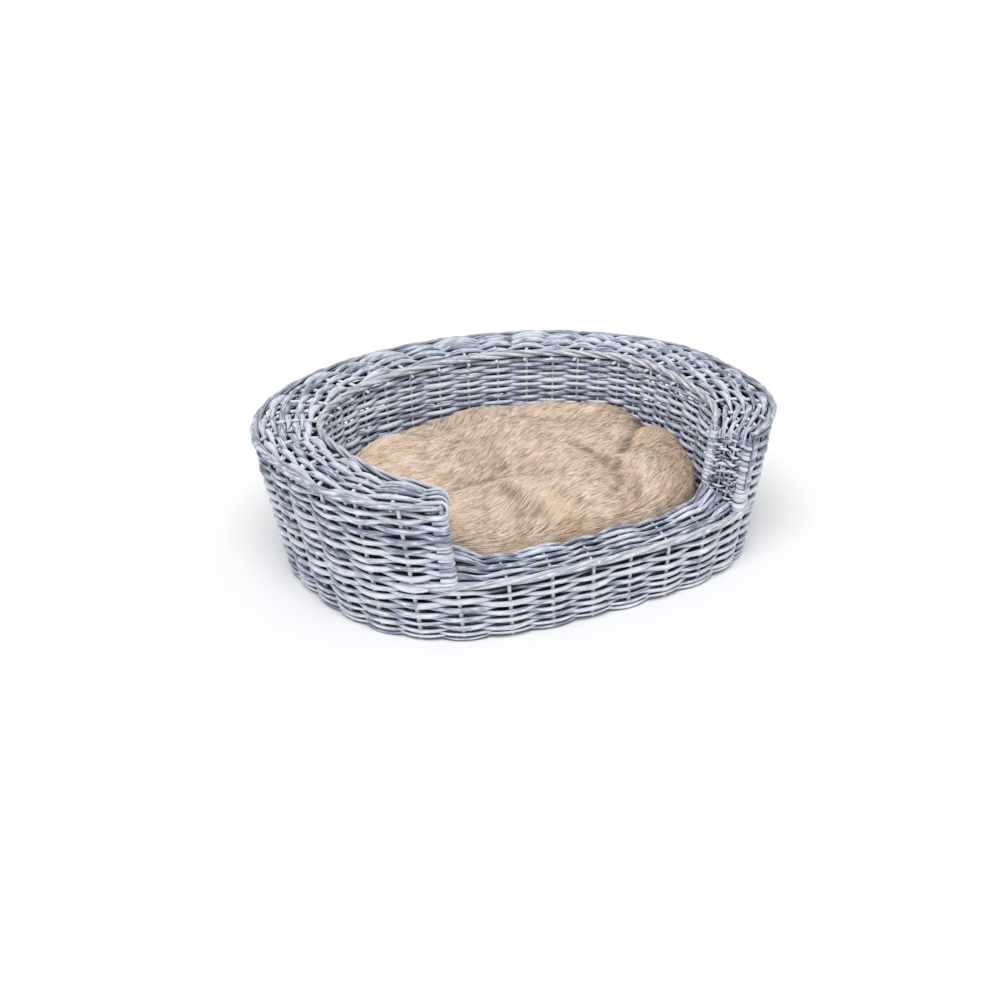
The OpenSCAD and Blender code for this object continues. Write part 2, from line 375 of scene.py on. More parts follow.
@dataclass
class WeavePanel:
    """Plain weave: each rod passes before one stake and behind the next, its neighbours opposed.

    place gives the middle of the panel at stake count u and share v across the rods. The rods run
    from start to end in stake counts, and facing turns the normal to the side that is seen. grade
    is the first row's thickness against the last one's; bulge is how much fatter a rod looks before
    a stake than behind it, and waist how much thinner it is halfway between two.
    """

    place: Place
    start: float
    end: float
    rows: int
    swing: float
    facing: float
    seed: int
    closed: bool = False
    first: int = 0
    fill: float = 1.04
    bulge: float = 0.20
    waist: float = 0.14
    stray: float = 0.17
    grade: float = 1.0
    uneven: float = 0.13
    taper: float = 0.40
    wander: float = 0.06
    per_gap: int = PER_GAP
    ends: EndStyle = EndStyle.NONE
    turn_radius: float = 0.007
    tail: float = 0.014
    rod_length: float = 1.0
    rng: np.random.Generator = field(init=False)

    def __post_init__(self) -> None:
        """Seed the panel's own irregularity."""
        self.rng = np.random.default_rng(self.seed)

    def surface(self, u: Array, v: Array) -> tuple[Array, Array, Array]:
        """Middle points, seen-side normals and rod directions at (u, v)."""
        step = 1e-3
        p = self.place(u, v)
        du = self.place(u + step, v) - p
        dv = self.place(u, v + step) - p
        return p, unit(np.cross(du, dv)) * self.facing, unit(du)

    def _sizes(self, share: Array, length: float) -> tuple[Array, Array]:
        """Thickness and tone of each row along the panel.

        Args:
            share: Places along the panel, from 0 to 1.
            length: Length of a row.

        Returns:
            Relative thickness and tone, each with a row for each row of the weave.
        """
        joins = max(1, round(length / self.rod_length))
        thick, tone = [], []
        for k in range(self.rows):
            walk = share * joins + self.rng.random()
            part = walk % 1.0
            body = 1 + self.taper * (0.5 - part)
            body = mix(body, 1 + self.taper * 0.5, smooth(0.965, 1.0, part))
            low = sum(
                self.wander / math.sqrt(m) * np.cos(2 * np.pi * (m * share + self.rng.random()))
                for m in (1, 2, 3, 5)
            )
            size = mix(self.grade, 1.0, k / max(self.rows - 1, 1))
            thick.append(body * (1 + low) * size * (1 + self.uneven * self.rng.uniform(-1, 1)))
            tones = self.rng.random(joins + 2)
            tone.append(tones[np.floor(walk).astype(int) % (joins if self.closed else joins + 2)])
        return np.array(thick), np.array(tone)

    def weave(self, bundle: RodBundle) -> None:
        """Weave the panel's rows into a bundle."""
        steps = round((self.end - self.start) * self.per_gap)
        share = np.arange(steps + (0 if self.closed else 1)) / steps
        u = mix(self.start, self.end, share)
        low, high = self.place(u, np.zeros_like(u)), self.place(u, np.ones_like(u))
        width = np.linalg.norm(high - low, axis=1)
        length = np.linalg.norm(np.diff(low, axis=0), axis=1).sum()
        thick, tone = self._sizes(share, length)
        thick = thick / thick.sum(0)
        middle = np.cumsum(thick, 0) - thick / 2
        for k in range(self.rows):
            across = middle[k] + thick[k] * self._stray(u, self.stray)
            p, n, _ = self.surface(u, across)
            lift = self._wave(u + k + self.first)
            fat = 1 + self.bulge * lift - self.waist * (1 - np.abs(lift)) + self._stray(u, 0.08)
            rod = Rod(
                p + n * (lift * self.swing)[:, None],
                width * thick[k] / 2 * self.fill * fat,
                n,
                tone[k],
                # How proud the rod is: high before a stake, where the brush whitens it, and low behind one,
                # where it is darkened as painted shade.
                0.28 + 0.36 * (1 + lift),
                self.closed,
            )
            if self.ends is not EndStyle.NONE:
                rod = self._ended(rod, u, across, lift)
            bundle.add(rod)

    def _stray(self, u: Array, most: float) -> Array:
        """Uneven lie of a rod: a value up to most at each half gap, joined in straight runs."""
        count = round(2 * (self.end - self.start))
        values = self.rng.uniform(-most, most, count + 1)
        if self.closed:
            values[-1] = values[0]
        return np.interp(u, np.linspace(self.start, self.end, count + 1), values)

    @staticmethod
    def _wave(x: Array) -> Array:
        """Height of a rod over its panel: 1 before a stake, -1 behind it, flat-topped."""
        c = np.cos(np.pi * x)
        return np.sign(c) * np.abs(c) ** 0.8

    def _ended(self, rod: Rod, u: Array, v: Array, lift: Array) -> Rod:
        """Lengthen a row at both ends in the panel's end style."""
        parts = []
        for at, sign in ((0, -1.0), (-1, 1.0)):
            p, n, along = (a[0] for a in self.surface(u[at : at + 1 or None], v[at : at + 1 or None]))
            added = self._tail(p, n, along * sign, lift[at] * self.swing, rod.radii[at])
            parts.append(added[::-1] if sign < 0 else added)
        a, b = (len(x) for x in parts)

        def grown(values: Array, fade: float) -> Array:
            """Carry the end values over the added points, fading them by that share."""
            before, after = values[0] * np.linspace(fade, 1, a), values[-1] * np.linspace(1, fade, b)
            return np.concatenate([before, values, after])

        first, last = (self._tail_normals(part, rod, at) for part, at in zip(parts, (0, -1)))
        return Rod(
            np.vstack([parts[0], rod.points, parts[1]]),
            grown(rod.radii, 0.8),
            np.concatenate([first, rod.normals, last]),
            grown(rod.tone, 1),
            grown(np.maximum(rod.crest, 0.75), 1),
        )

    @staticmethod
    def _tail_normals(points: Array, rod: Rod, at: int) -> Array:
        """Seen side of an end's points: away from the post's middle line."""
        centre = (points.mean(0) + rod.points[at]) / 2
        return unit(points - centre + rod.normals[at] * 1e-3)

    def _tail(self, p: Array, n: Array, away: Array, offset: float, r: float) -> Array:
        """Points that lengthen a row past its last stake.

        Args:
            p: Middle of the panel at its side.
            n: Seen-side normal there.
            away: Direction out of the panel.
            offset: Where the row is on the normal.
            r: The row's radius.

        Returns:
            The added points, from the panel outwards.
        """
        turn = np.radians(np.arange(1, 7) * 30)
        if self.ends is EndStyle.WRAP:
            reach = abs(offset)
            side = math.copysign(1, offset)
            arc = [p + reach * (side * math.cos(a) * n + math.sin(a) * away) for a in turn]
            back = [p - offset * n - away * d for d in (0.004, 0.009)]
            return np.array(arc + back)
        if self.ends is EndStyle.TURN_DOWN:
            big = self.turn_radius
            n = np.array([0.0, 0.0, 1.0])
            away = unit(away * [1, 1, 0])
            arc = [
                p + away * big * math.sin(a) - n * big * (1 - math.cos(a))
                + offset * (math.cos(a) * n + math.sin(a) * away) * (1 - 0.5 * a / (math.pi / 2))
                for a in np.radians((22.5, 45, 67.5, 90))
            ]
            drop = self.tail * self.rng.uniform(0.75, 1.25)
            down = [arc[-1] - n * drop * s - away * 0.0015 * s for s in (0.35, 0.7, 1.0)]
            return np.array(arc + down)
        return np.array([p + n * mix(offset, -r, s) + away * self.tail * s for s in (0.33, 0.66, 1.0)])


@dataclass
class Wale:
    """A rope-like edge of three rods that pass before two stakes and behind one in turn.

    line gives the middle of the edge at stake count u, and side and up the two directions in which
    the rods swing round it.
    """

    line: Callable[[Array], Array]
    start: float
    end: float
    side_swing: float
    up_swing: float
    radius: float
    seed: int
    rods: int = 3
    period: float = 3.0
    sink: float = 0.0
    hand: float = 1.0
    facing: float = 1.0
    LUMP: ClassVar[float] = 11.0  # stakes from one thick place of a rod to the next

    def twist(self, bundle: RodBundle) -> None:
        """Add the edge's rods to a bundle."""
        rng = np.random.default_rng(self.seed)
        u = np.linspace(self.start, self.end, round((self.end - self.start) * PER_GAP) + 1)
        p = self.line(u)
        along = unit(np.gradient(p, axis=0))
        up = np.tile([0.0, 0.0, 1.0], (len(u), 1))
        side = unit(np.cross(along, up))
        edge = np.minimum(smooth(0, 0.8, u - self.start), smooth(0, 0.8, self.end - u))
        for m in range(self.rods):
            a = 2 * np.pi * (self.hand * u / self.period + m / self.rods)
            uneven = 0.06 * rng.uniform(-1, 1)
            size = self.radius * (1 + uneven + 0.07 * np.cos(2 * np.pi * (u / self.LUMP + rng.random())))
            swing = mix(0.35, 1.0, edge)[:, None]
            out, rise = self.side_swing * np.cos(a)[:, None], self.up_swing * np.sin(a)[:, None]
            q = p + (side * out + up * rise) * swing
            q -= up * (self.sink * (1 - edge))[:, None]
            tone = np.full(len(u), rng.random())
            # The outer and upper side takes the brush; the underside and the inner side are darkened as
            # painted shade.
            crest = 0.78 + 0.22 * np.cos(a) * self.facing
            seen = unit(side * 0.45 * self.facing + up)
            bundle.add(Rod(q, size * mix(0.72, 1.0, edge), seen, tone, crest))


def straight(
    bundle: RodBundle,
    points: Sequence[Array],
    radius: float,
    normal: Sequence[float],
    tone: float,
    crest: float = 0.9,
) -> None:
    """Add a rod through the given points, a little thinner at its far end.

    Args:
        bundle: Bundle that takes the rod.
        points: Points of its middle line.
        radius: Its radius halfway.
        normal: The side that is seen.
        tone: Its tone, from 0 to 1.
        crest: How much of it the brush reached, from 0 to 1; low values are also darkened as painted shade.
    """
    p = np.array(points, float)
    n = np.tile(unit(np.asarray(normal, float)), (len(p), 1))
    radii = np.linspace(radius * 1.04, radius * 0.94, len(p))
    bundle.add(Rod(p, radii, n, np.full(len(p), tone), np.full(len(p), crest)))


def node(tree: bpy.types.NodeTree, kind: str, out: Any, wires: dict[Any, Any], **settings: Any) -> Any:
    """Add a node, set it and wire it.

    Args:
        tree: The material's node tree.
        kind: Node type, without its "ShaderNode" start.
        out: Name or index of the output that is wanted, or None if it has no outputs.
        wires: Value or output socket for each input, by name or index.
        **settings: Properties of the node.

    Returns:
        The wanted output socket, or None.
    """
    made = tree.nodes.new("ShaderNode" + kind)
    for name, value in settings.items():
        setattr(made, name, value)
    for key, value in wires.items():
        if isinstance(value, bpy.types.NodeSocket):
            tree.links.new(value, made.inputs[key])
        else:
            made.inputs[key].default_value = value
    return None if out is None else made.outputs[out]


def empty_finish(name: str) -> bpy.types.Material:
    """Make a material that has no nodes yet."""
    mat = bpy.data.materials.new(name)
    mat.use_nodes = True
    mat.node_tree.nodes.clear()
    return mat


SOFT = {"interpolation_type": "SMOOTHSTEP"}
COLOURS = {"data_type": "RGBA"}
MIXED = 2  # output of a Mix node that holds its colour
RANGE = ("Value", "From Min", "From Max", "To Min", "To Max")  # inputs of a Map Range node


@dataclass(frozen=True)
class WillowFinish:
    """Peeled willow rods, stained slate grey by dipping, then dry-brushed with white.

    The brush whitens what stands proud, the recesses and the sides turned away are painted dark as
    painted shade, and the grain shows as fine streaks along each rod. chalked says how much white a
    rod takes and tinted how warm the rods that took less stain are.
    """

    name: str
    hollow: str = "#1d2130"  # painted shade: dark put in the recesses and on the rods' turned-away sides
    stain: str = "#7d869c"
    wash: str = "#d5dceb"
    chalk: str = "#f3f5fa"
    tint: str = "#c9c2b8"  # rods that took less stain
    chalked: float = 0.5
    tinted: float = 0.25

    BRUSH_FROM: ClassVar[float] = 0.60  # how dry the brush is: noise above this takes white
    BRUSH_REACH: ClassVar[float] = 0.25
    BRUSH_STEP: ClassVar[float] = 0.14
    COVER: ClassVar[float] = 0.85  # how well the white hides the stain
    STREAKS: ClassVar[tuple[float, float, float]] = (20.0, 1.3, 3.0)  # length, width in mm, detail
    PATCHES: ClassVar[tuple[float, float, float]] = (15.0, 6.0, 2.0)
    FIBRES: ClassVar[tuple[float, float, float]] = (9.0, 0.8, 2.0)  # coarser than real ones, to show

    def make(self) -> bpy.types.Material:
        """Build the material."""
        mat = empty_finish(self.name)
        add = partial(node, mat.node_tree)
        grain = add("Attribute", "Vector", {}, attribute_name="grain")
        tone = add("Attribute", "Fac", {}, attribute_name="tone")
        brush_and_shade = add("Attribute", "Fac", {}, attribute_name="brush_and_shade")
        noises = []
        for along, across, detail in (self.STREAKS, self.PATCHES, self.FIBRES):
            scale = (1 / (along * MM), 1 / (across * MM), 1 / (across * MM))
            at = add("Mapping", 0, {"Vector": grain, "Scale": scale})
            noises.append(add("TexNoise", "Fac", {"Vector": at, "Scale": 1.0, "Detail": detail}))
        streaks, patches, fibres = noises
        sums = []
        for parts in (
            ((streaks, 0.56), (patches, 0.24), (tone, 0.20)),
            ((fibres, 0.60), (patches, 0.40)),
            ((streaks, 0.70), (fibres, 0.30)),
        ):
            total = 0.0
            for value, share in parts:
                total = add("Math", 0, {0: value, 1: share, 2: total}, operation="MULTIPLY_ADD")
            sums.append(total)
        mood, brush, height = sums

        wash_share = add("MapRange", 0, dict(zip(RANGE, (mood, 0.40, 0.56))), **SOFT)
        stained = {0: wash_share, 6: linear(self.stain), 7: linear(self.wash)}
        colour = add("Mix", MIXED, stained, **COLOURS)
        tint_share = add("MapRange", 0, dict(zip(RANGE, (tone, 0.62, 0.9, 0.0, self.tinted))), **SOFT)
        colour = add("Mix", MIXED, {0: tint_share, 6: colour, 7: linear(self.tint)}, **COLOURS)
        low = self.BRUSH_FROM - self.BRUSH_REACH * self.chalked
        proud = add("MapRange", 0, dict(zip(RANGE, (brush_and_shade, 0.42, 0.95))), **SOFT)
        caught = add("MapRange", 0, dict(zip(RANGE, (brush, low, low + self.BRUSH_STEP))), **SOFT)
        brushed = add("Math", 0, {0: proud, 1: caught}, operation="MULTIPLY")
        cover = add("Math", 0, {0: brushed, 1: self.COVER}, operation="MULTIPLY")
        colour = add("Mix", MIXED, {0: cover, 6: colour, 7: linear(self.chalk)}, **COLOURS)
        # Painted shade: recessed parts and the sides turned away are mixed towards the hollow colour.
        depth = add("MapRange", 0, dict(zip(RANGE, (brush_and_shade, 0.14, 0.48, 0.96, 0.0))), **SOFT)
        colour = add("Mix", MIXED, {0: depth, 6: colour, 7: linear(self.hollow)}, **COLOURS)

        rough = add("MapRange", 0, dict(zip(RANGE, (brushed, 0.0, 1.0, 0.58, 0.82))), **SOFT)
        bump = add("Bump", 0, {"Height": height, "Strength": 0.6, "Distance": 0.9 * MM})
        wires = {"Base Color": colour, "Roughness": rough, "Normal": bump}
        wires |= {"IOR": 1.45, "Specular IOR Level": 0.35}
        shader = add("BsdfPrincipled", 0, wires)
        add("OutputMaterial", None, {"Surface": shader})
        return mat


@dataclass(frozen=True)
class PileFinish:
    """Long acrylic pile, brushed: cream and tan hairs, some with a smoky brown tip, which also serves as
    painted shade.
    """

    name: str = "Long acrylic pile, brushed"
    root: str = "#d2b291"
    tan: str = "#e4c6a8"
    cream: str = "#fbebd9"
    dark_tip_and_shade: str = "#57493f"

    def make(self) -> bpy.types.Material:
        """Build the material."""
        mat = empty_finish(self.name)
        add = partial(node, mat.node_tree)
        tone, along, dark_tip_and_shade = (
            add("Attribute", "Fac", {}, attribute_name=name) for name in ("tone", "along", "dark_tip_and_shade")
        )
        hair = add("Mix", MIXED, {0: tone, 6: linear(self.tan), 7: linear(self.cream)}, **COLOURS)
        rise = add("MapRange", 0, dict(zip(RANGE, (along, 0.05, 0.5))), **SOFT)
        body = add("Mix", MIXED, {0: rise, 6: linear(self.root), 7: hair}, **COLOURS)
        # Dark tips where the attribute says so; in the creases and at the right end these are painted shade.
        tip = add("MapRange", 0, dict(zip(RANGE, (along, 0.5, 0.9))), **SOFT)
        share = add("Math", 0, {0: tip, 1: dark_tip_and_shade}, operation="MULTIPLY")
        colour = add("Mix", MIXED, {0: share, 6: body, 7: linear(self.dark_tip_and_shade)}, **COLOURS)
        wires = {"Base Color": colour, "Roughness": 0.62, "Specular IOR Level": 0.3}
        wires |= {"Sheen Weight": 0.25, "Sheen Roughness": 0.5}
        shader = add("BsdfPrincipled", 0, wires)
        add("OutputMaterial", None, {"Surface": shader})
        return mat


@dataclass(frozen=True)
class WovenFinish:
    """Plain-woven cloth: two sets of threads that cross, seen as a fine check with slubs."""

    name: str
    warp: str
    weft: str
    thread: float  # thread spacing in millimetres, drawn as coarse as it needs to show

    WAVE_LENGTH: ClassVar[float] = math.tau / 20  # length of one band of a Wave texture at scale 1

    def make(self) -> bpy.types.Material:
        """Build the material."""
        mat = empty_finish(self.name)
        add = partial(node, mat.node_tree)
        place = add("TexCoord", "Object", {})
        wires = {"Vector": place, "Scale": self.WAVE_LENGTH / (self.thread * MM), "Distortion": 1.2}
        wires |= {"Detail": 1.0, "Detail Scale": 3.0}
        threads = [add("TexWave", "Fac", wires, bands_direction=way) for way in ("X", "Y")]
        check = add("Math", 0, dict(enumerate(threads)), operation="MAXIMUM")
        slub = add("TexNoise", "Fac", {"Vector": place, "Scale": 60.0, "Detail": 3.0})
        share = add("Math", 0, {0: check, 1: slub}, operation="MULTIPLY")
        colour = add("Mix", MIXED, {0: share, 6: linear(self.warp), 7: linear(self.weft)}, **COLOURS)
        bump = add("Bump", 0, {"Height": check, "Strength": 0.5, "Distance": 0.5 * MM})
        wires = {"Base Color": colour, "Roughness": 0.85, "Normal": bump, "Sheen Weight": 0.2}
        shader = add("BsdfPrincipled", 0, wires)
        add("OutputMaterial", None, {"Surface": shader})
        return mat


def settle(
    obj: bpy.types.Object, body: str, nodes: Sequence[str], slot: str, mat: bpy.types.Material
) -> bpy.types.Object:
    """Dress a piece and put it on its body in place of the frame's solids.

    Args:
        obj: The piece, already in place.
        body: The body it rides on.
        nodes: The solids it stands for.
        slot: Name of its material slot; not used.
        mat: Its material, if it has none yet.

    Returns:
        The piece.
    """
    if not obj.data.materials:
        obj.data.materials.append(mat)
    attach(obj, body)
    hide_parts(*nodes)
    return obj


@dataclass
class Walls:
    """The outer and inner walls with their stakes and posts, and the border they stand on."""

    outline: Outline
    looks: Looks
    outer_mid: float = 0.007
    inner_mid: float = 0.006
    foot_low: float = 0.0026
    foot_top: float = 0.0105
    foot_rows: int = 3
    foot_swing: float = 0.0042
    split: float = 0.062
    top: float = 0.1575
    window: float = 0.0045
    lower_rows: int = 10
    upper_rows: int = 16
    inner_rows: int = 32
    outer_swing: float = 0.0043
    inner_swing: float = 0.0037
    outer_post: float = 1.25
    inner_post: float = 1.7
    stake_radius: float = 0.00235
    inner_stake_radius: float = 0.0018
    post_radius: float = 0.0024
    post_top: float = 0.161
    post_foot: float = 0.0605
    stake_foot: float = 0.0035
    outer_tops: tuple[float, float] = (0.160, 0.064)  # at the arms and back, and at the sill
    inner_tops: tuple[float, float] = (0.164, 0.066)
    lean: float = 0.25

    @staticmethod
    def _between_posts(u: Array, gaps: int, post: float) -> Array:
        """How far the end stakes, which are the posts, are moved in."""
        return post * (np.clip(1 - u, 0, 1.2) - np.clip(u - gaps + 1, 0, 1.2))

    def outer_angle(self, u: Array) -> Array:
        """Angle of stake count u on the arms and back, between the outer posts."""
        o = self.outline
        at = o.c_angle(o.bunched(u / o.outer_gaps, o.outer_bunch), o.arm_outer)
        return at + self._between_posts(u, o.outer_gaps, self.outer_post)

    def inner_angle(self, u: Array) -> Array:
        """Angle of stake count u round the well, between the inner posts."""
        o = self.outline
        at = o.c_angle(o.bunched(u / o.inner_gaps, o.inner_bunch), o.arm_inner)
        return at + self._between_posts(u, o.inner_gaps, self.inner_post)

    def foot(self) -> None:
        """Border of three thin rods under the first row."""
        o = self.outline
        total = o.outer_gaps + o.sill_gaps
        bundle = RodBundle("foot_border_rods", 11)
        WeavePanel(
            lambda u, v: o.outer(mix(self.foot_low, self.foot_top, v), self.outer_mid, o.outer_ring(u)),
            0, total, self.foot_rows, self.foot_swing, 1.0, 12,
            closed=True, first=1, uneven=0.06, wander=0.03,
        ).weave(bundle)
        bundle.lay("foot_border", "wall_willow", self.looks)

    def lower_wall(self) -> None:
        """Whole rings from the foot to the height of the sill."""
        o = self.outline
        total = o.outer_gaps + o.sill_gaps
        bundle = RodBundle("lower_wall_rods", 21)

        def place(u: Array, v: Array) -> Array:
            """The outer wall's middle; under the sill the weave stops a little short of it."""
            turn = u - np.floor(u / total) * total
            left = smooth(o.outer_gaps + 0.1, o.outer_gaps + 0.7, turn)
            front = left * (1 - smooth(total - 0.7, total - 0.1, turn))
            top = self.split - self.window * front
            return o.outer(mix(self.foot_top, top, v), self.outer_mid, o.outer_ring(u))

        WeavePanel(
            place, 0, total, self.lower_rows, self.outer_swing, 1.0, 22,
            closed=True, grade=0.62, stray=0.20, uneven=0.16, fill=1.04, bulge=0.06, waist=0.15,
        ).weave(bundle)
        bundle.lay("lower_wall_weave", "wall_willow", self.looks)

    def outer_wall(self) -> None:
        """Rows of the arms and back above the sill, wrapped round the two outer posts."""
        o = self.outline
        bundle = RodBundle("outer_wall_rods", 31)
        top = self.top - self.window
        WeavePanel(
            lambda u, v: o.outer(mix(self.split, top, v), self.outer_mid, self.outer_angle(u)),
            0, o.outer_gaps, self.upper_rows, self.outer_swing, 1.0, 32,
            first=self.lower_rows, ends=EndStyle.WRAP,
            stray=0.20, uneven=0.16, fill=1.06, bulge=0.02, waist=0.17,
        ).weave(bundle)
        bundle.lay("outer_wall_weave", "wall_willow", self.looks)

    def inner_wall(self) -> None:
        """Rows of the well's wall, wrapped round the two inner posts."""
        o = self.outline
        bundle = RodBundle("inner_wall_rods", 41)
        top = self.top - 1 * MM
        WeavePanel(
            lambda u, v: o.inner(mix(FLOOR_TOP, top, v), self.inner_mid, self.inner_angle(u)),
            0, o.inner_gaps, self.inner_rows, self.inner_swing, -1.0, 42, ends=EndStyle.WRAP,
            per_gap=7, fill=1.17, bulge=0.01, waist=0.12, stray=0.13, uneven=0.16,
        ).weave(bundle)
        bundle.lay("inner_wall_weave", "well_willow", self.looks)

    def stakes(self) -> None:
        """Upright stakes of both walls, and the four posts that end them."""
        o = self.outline
        rng = np.random.default_rng(51)
        outer = RodBundle("outer_stake_rods", 52)
        for i in range(o.outer_gaps + o.sill_gaps):
            t = float(o.outer_ring(i))
            z = np.linspace(self.stake_foot, self.outer_tops[not 0 < i < o.outer_gaps], 9)
            p = o.outer(z, self.outer_mid, t + self.lean * rng.uniform(-1, 1))
            straight(outer, p, self.stake_radius, p[4] * [1, 1, 0], rng.random())
        outer.lay("outer_stakes", "stake_willow", self.looks)
        inner = RodBundle("inner_stake_rods", 53)
        for i in [*range(1, o.inner_gaps), *range(o.inner_gaps + 1, o.inner_gaps + o.sill_gaps)]:
            t = float(o.inner_ring(i))
            z = np.linspace(FLOOR_TOP, self.inner_tops[i >= o.inner_gaps], 9)
            p = o.inner(z, self.inner_mid, t + self.lean * rng.uniform(-1, 1))
            straight(inner, p, self.inner_stake_radius, -p[4] * [1, 1, 0], rng.random())
        inner.lay("inner_stakes", "stake_willow", self.looks)
        for side, u in (("right", 0.0), ("left", 1.0)):
            for wall, point, gaps, angle, mid, low in (
                ("outer", o.outer, o.outer_gaps, self.outer_angle, self.outer_mid, self.post_foot),
                ("inner", o.inner, o.inner_gaps, self.inner_angle, self.inner_mid, FLOOR_TOP),
            ):
                post = RodBundle(f"{side}_{wall}_post_rod", 54)
                t = float(angle(np.array([u * gaps]))[0])
                p = point(np.linspace(low, self.post_top, 9), mid, t)
                straight(post, p, self.post_radius, [0.0, -1.0, 0.0], rng.random())
                post.lay(f"{side}_{wall}_post", "rim_willow", self.looks)

    def make(self) -> None:
        """Build everything that belongs to the walls."""
        self.foot()
        self.lower_wall()
        self.outer_wall()
        self.inner_wall()
        self.stakes()


@dataclass
class Rim:
    """The broad woven top of the arms and back, its two rope-like edges and the arms' end faces."""

    outline: Outline
    looks: Looks
    walls: Walls
    edge_w: float = 0.009
    window: float = 0.0048
    rows: int = 8
    crown: float = 0.1642
    outer_fall: float = 0.0048
    inner_fall: float = 0.0034
    end_low: float = 0.074
    end_high: float = 0.157
    end_rows: int = 19
    end_gaps: int = 3

    def place(self, u: Array, v: Array) -> Array:
        """Middle of the rim's weave: v goes from the outer edge to the inner one."""
        o = self.outline
        s = o.bunched(u / o.inner_gaps, o.inner_bunch)
        fall = np.where(v < 0.5, self.outer_fall, self.inner_fall) * np.abs(2 * v - 1) ** 2.4
        z = self.crown - fall
        a = o.outer(z, self.edge_w + 0.001, o.c_angle(s, o.arm_outer))
        near = 1 - smooth(0.0, 1.6, np.minimum(u, o.inner_gaps - u))
        b = o.inner(z, self.edge_w + self.window * (1 - 0.9 * near), o.c_angle(s, o.arm_inner))
        return mix(a, b, v[:, None])

    def top_rows(self) -> None:
        """Rods that sweep round the rim and turn down over the arm ends, and the ribs under them."""
        o = self.outline
        bundle = RodBundle("rim_top_rods", 61)
        edge = 0.16
        WeavePanel(
            self.place, edge, o.inner_gaps - edge, self.rows, 0.0034, 1.0, 62, ends=EndStyle.TURN_DOWN,
            fill=0.84, bulge=0.32, waist=0.16, uneven=0.16, taper=0.30, stray=0.22, tail=0.006,
        ).weave(bundle)
        bundle.lay("rim_top_weave", "rim_willow", self.looks)
        ribs = RodBundle("rim_rib_rods", 63)
        rng = np.random.default_rng(64)
        for i in range(1, o.inner_gaps):
            v = np.linspace(-0.1, 1.24, 8)
            p = self.place(np.full(8, i + 0.04 * rng.uniform(-1, 1)), v)
            straight(ribs, p, 0.0022, [0.0, 0.0, 1.0], rng.random())
        ribs.lay("rim_ribs", "stake_willow", self.looks)

    def edges(self) -> None:
        """Rope-like edges outside and inside the rim."""
        o = self.outline
        outer = RodBundle("outer_rim_wale_rods", 71)
        Wale(
            lambda u: o.outer(0.1622, 0.0047, self.walls.outer_angle(u)),
            -0.05, o.outer_gaps + 0.05, 0.0026, 0.0019, 0.0026, 72, sink=0.002,
        ).twist(outer)
        outer.lay("outer_rim_wale", "edge_willow", self.looks)
        inner = RodBundle("inner_rim_wale_rods", 73)
        Wale(
            lambda u: o.inner(0.1627, 0.0046, self.walls.inner_angle(u)),
            0.02, o.inner_gaps - 0.02, 0.0024, 0.0026, 0.0024, 74, hand=-1.0, facing=-1.0, sink=0.002,
        ).twist(inner)
        inner.lay("inner_rim_wale", "edge_willow", self.looks)

    def arm_end(self, side: str) -> None:
        """Thin rods across an arm's end, between its two posts."""
        o, w = self.outline, self.walls
        at = 0.0 if side == "right" else 1.0
        t_out = float(w.outer_angle(np.array([at * o.outer_gaps]))[0])
        t_in = float(w.inner_angle(np.array([at * o.inner_gaps]))[0])

        def place(u: Array, v: Array) -> Array:
            """Middle of the end face: u goes from the outer post to the inner one, v upwards."""
            z = mix(self.end_low, self.end_high, v)
            a, b = o.outer(z, w.outer_mid, t_out), o.inner(z, w.inner_mid, t_in)
            out = unit(np.cross(b - a, [0.0, 0.0, 1.0]))
            out *= -np.sign(out[:, 1:2])
            return mix(a, b, mix(0.10, 0.90, u / self.end_gaps)[:, None]) + out * 0.002

        facing = -1.0 if side == "right" else 1.0
        bundle = RodBundle(f"{side}_arm_end_rods", 81)
        WeavePanel(
            place, 0, self.end_gaps, self.end_rows, 0.0026, facing, 82 + int(at),
            fill=0.74, bulge=0.12, uneven=0.12, wander=0.08, per_gap=6,
        ).weave(bundle)
        if side == "right":
            p = o.outer(np.linspace(0.098, 0.161, 8), 0.0016, t_out - 0.7)
            straight(bundle, p, 0.0017, [0.3, -1.0, 0.0], 0.2, crest=0.55)
        for i in range(1, self.end_gaps):
            z = place(np.full(6, float(i)), np.linspace(0.0, 1.0, 6))
            straight(bundle, z, 0.0014, [0.0, -1.0, 0.0], 0.5, crest=0.7)
        bundle.lay(f"{side}_arm_end_weave", "rim_willow", self.looks)

    def make(self) -> None:
        """Build the rim."""
        self.top_rows()
        self.edges()
        self.arm_end("left")
        self.arm_end("right")


